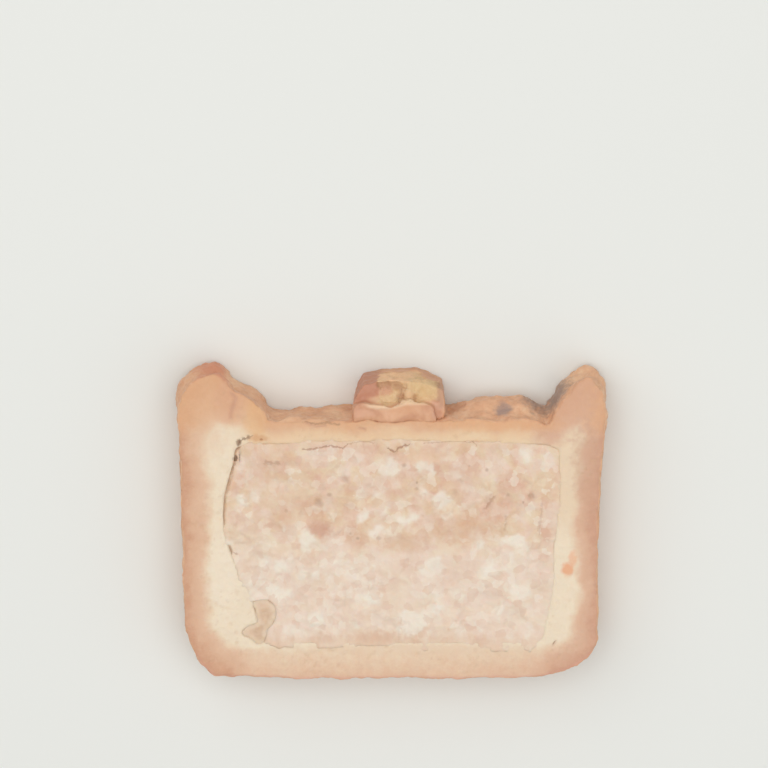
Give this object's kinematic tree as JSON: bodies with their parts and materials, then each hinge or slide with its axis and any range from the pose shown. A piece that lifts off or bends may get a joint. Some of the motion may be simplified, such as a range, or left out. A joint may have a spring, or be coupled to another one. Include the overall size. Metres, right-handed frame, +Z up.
{
  "type": "slice of slicing pork pie",
  "caption": "Cut slice of a long raised pork pie: browned pastry case with a pinched rim and lid trim round a coarse pork filling, lying flat with its cut face up.",
  "frame": {"origin": "middle of the bounding box's bottom, on the surface that the slice rests on", "axes": "+Z up, from the back cut face to the front cut face; +Y from the pie's base to its lid; +X across the pie, to the right of the front cut face"},
  "size_m": [0.121, 0.0886, 0.0187],
  "materials": {
    "pastry": "baked pastry, cream at the cut and browned on the outside",
    "pork": "moist coarse pork with bits of white fat",
    "jelly": "set savoury jelly, cloudy and wet"
  },
  "bodies": {
    "root": {"pastry_case": "pastry", "pork_filling": "pork", "jelly": "jelly", "pastry_trim": "pastry"}
  },
  "joints": []
}
